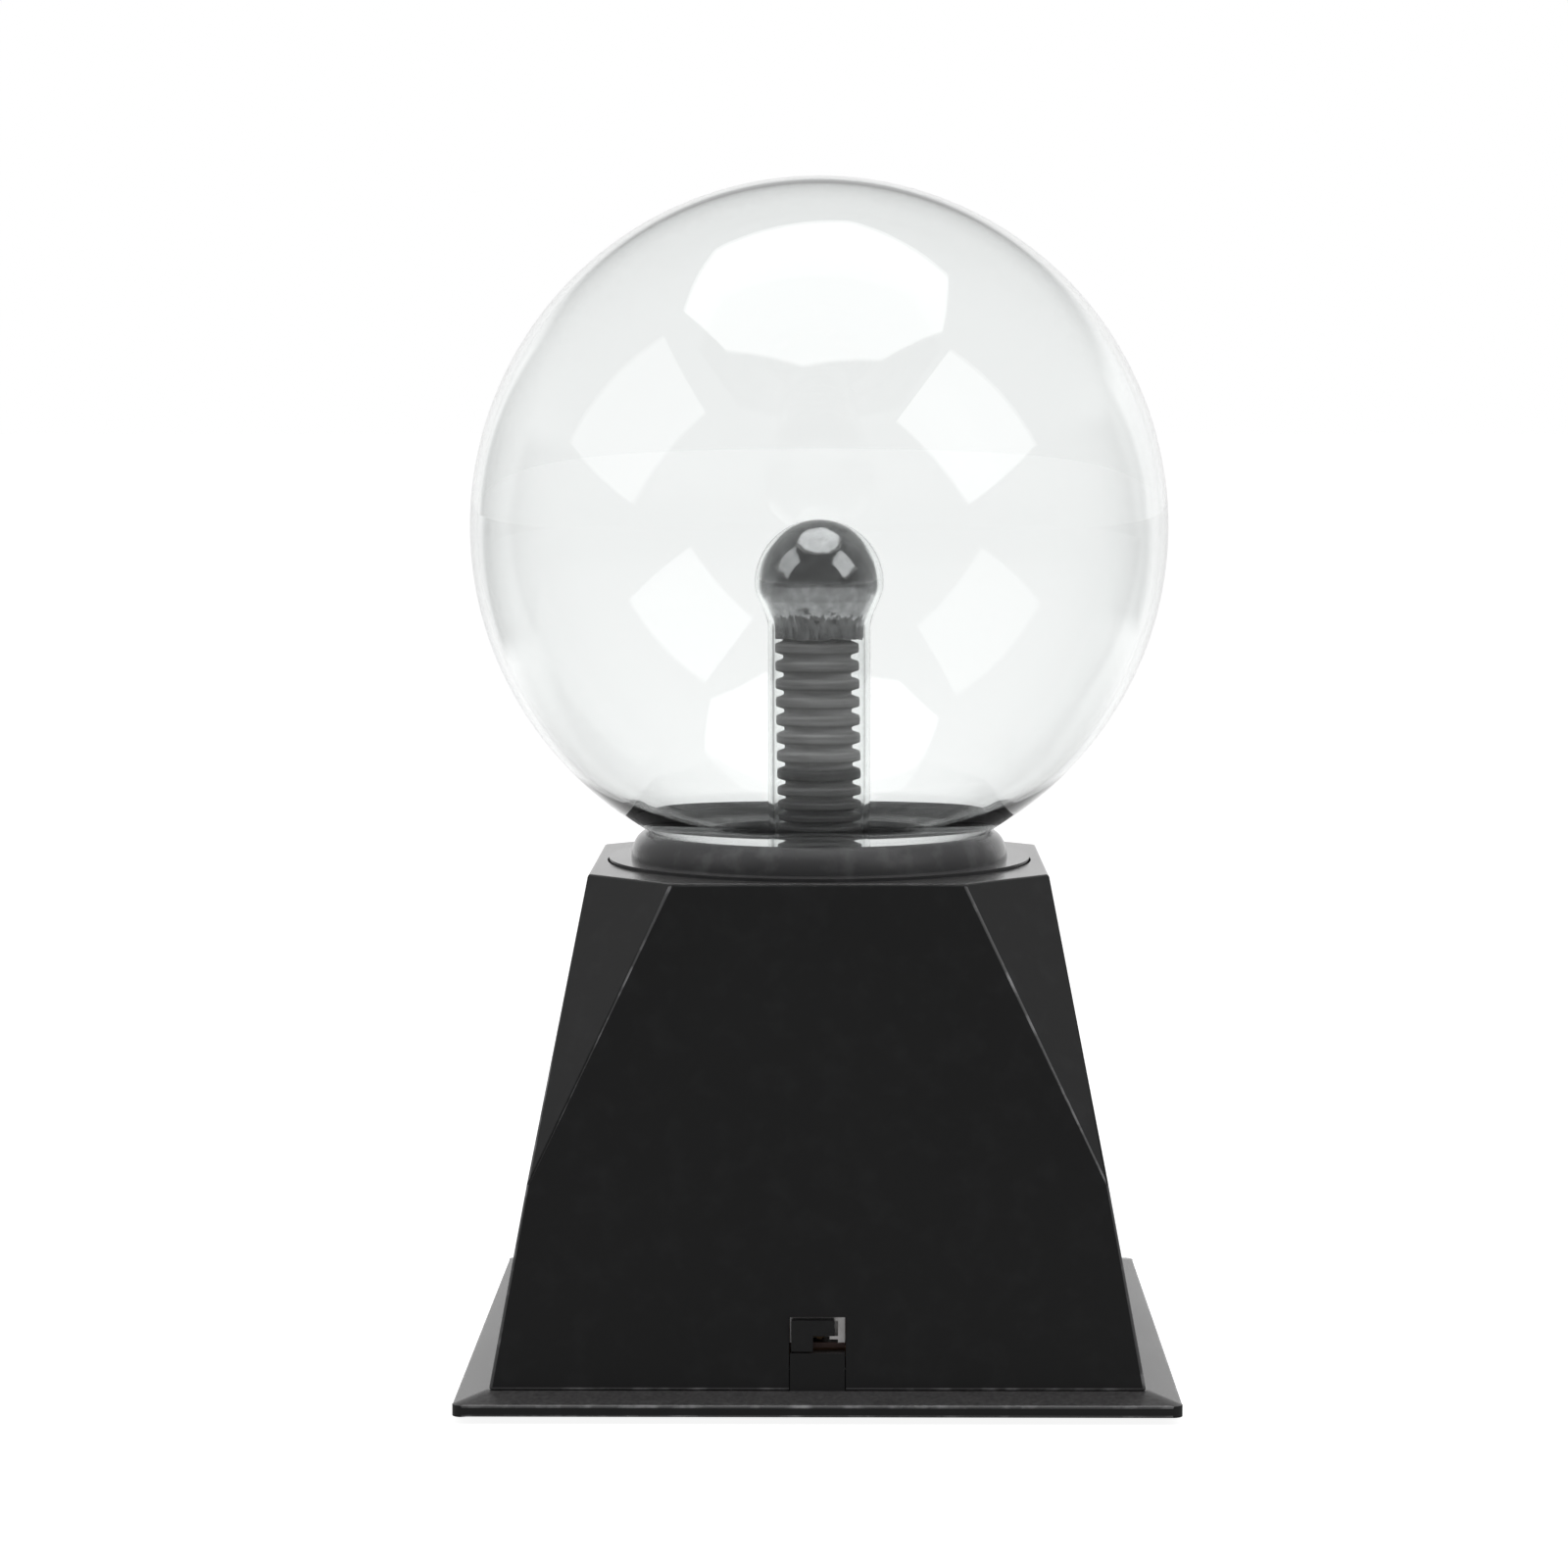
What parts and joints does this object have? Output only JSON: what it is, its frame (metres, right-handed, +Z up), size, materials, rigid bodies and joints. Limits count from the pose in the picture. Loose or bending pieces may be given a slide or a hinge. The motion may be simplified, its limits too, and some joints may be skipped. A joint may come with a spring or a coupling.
{
  "type": "plasma ball",
  "caption": "Clear glass globe with a bulb-topped central electrode, on a faceted black pyramid base with a square plinth and a front slide switch.",
  "frame": {"origin": "centre of the footprint, on the surface that the four rubber feet stand on", "axes": "+Z up through the globe and its electrode, -Y towards the front with the slide switch, +X to the right seen from the front"},
  "size_m": [0.115, 0.115, 0.1944],
  "materials": {
    "clear_glass": "clear blown soda glass",
    "electrode_coating": "dark conductive coating, slightly reflective",
    "metal_wool": "fine metal wool",
    "sleeve_plastic": "black, moulded corrugations",
    "black_rubber": "matte",
    "lead_insulation": "silicone insulation",
    "collar_plastic": "satin black",
    "case_plastic": "fine-textured black",
    "screw_steel": "zinc plated",
    "phenolic_board": "brown paper-phenolic laminate",
    "ferrite": "sintered, matte",
    "bobbin_plastic": "natural nylon",
    "winding_copper": "varnished copper wire",
    "sink_aluminium": "extruded",
    "moulded_epoxy": "moulded epoxy",
    "capacitor_sleeve": "shrink sleeve",
    "film_box": "potted box",
    "resistor_coat": "lacquered ceramic",
    "tin_plate": "tin-plated steel",
    "contact_brass": "stamped",
    "knob_plastic": "black"
  },
  "bodies": {
    "ball": {"globe_glass": "clear_glass", "electrode_stem": "clear_glass", "electrode_coating": "electrode_coating", "electrode_wool": "metal_wool", "corrugated_sleeve": "sleeve_plastic", "stem_grommet": "black_rubber", "hv_lead": "lead_insulation", "collar_ring": "collar_plastic", "globe_seat": "case_plastic", "neck_gasket": "black_rubber", "clamp_ring": "case_plastic", "clamp_screws": "screw_steel", "case_shell": "case_plastic", "case_screws": "screw_steel", "base_plate": "case_plastic", "rubber_feet": "black_rubber", "circuit_board": "phenolic_board", "board_screws": "screw_steel", "transformer_core": "ferrite", "transformer_bobbin": "bobbin_plastic", "transformer_winding": "winding_copper", "heatsink": "sink_aluminium", "power_transistor": "moulded_epoxy", "transistor_screw": "screw_steel", "main_capacitor": "capacitor_sleeve", "small_capacitors": "capacitor_sleeve", "film_capacitor": "film_box", "resistors": "resistor_coat", "switch_case": "tin_plate", "switch_base": "phenolic_board", "switch_terminals": "tin_plate", "jack_housing": "knob_plastic", "jack_pin": "tin_plate", "jack_terminals": "tin_plate"},
    "slider": {"switch_knob": "knob_plastic", "switch_contact": "contact_brass"}
  },
  "joints": [
    {"name": "switch_slide", "type": "slide", "parent": "ball", "child": "slider", "axis": [1, 0, 0], "range_m": [0, 0.0014]}
  ]
}
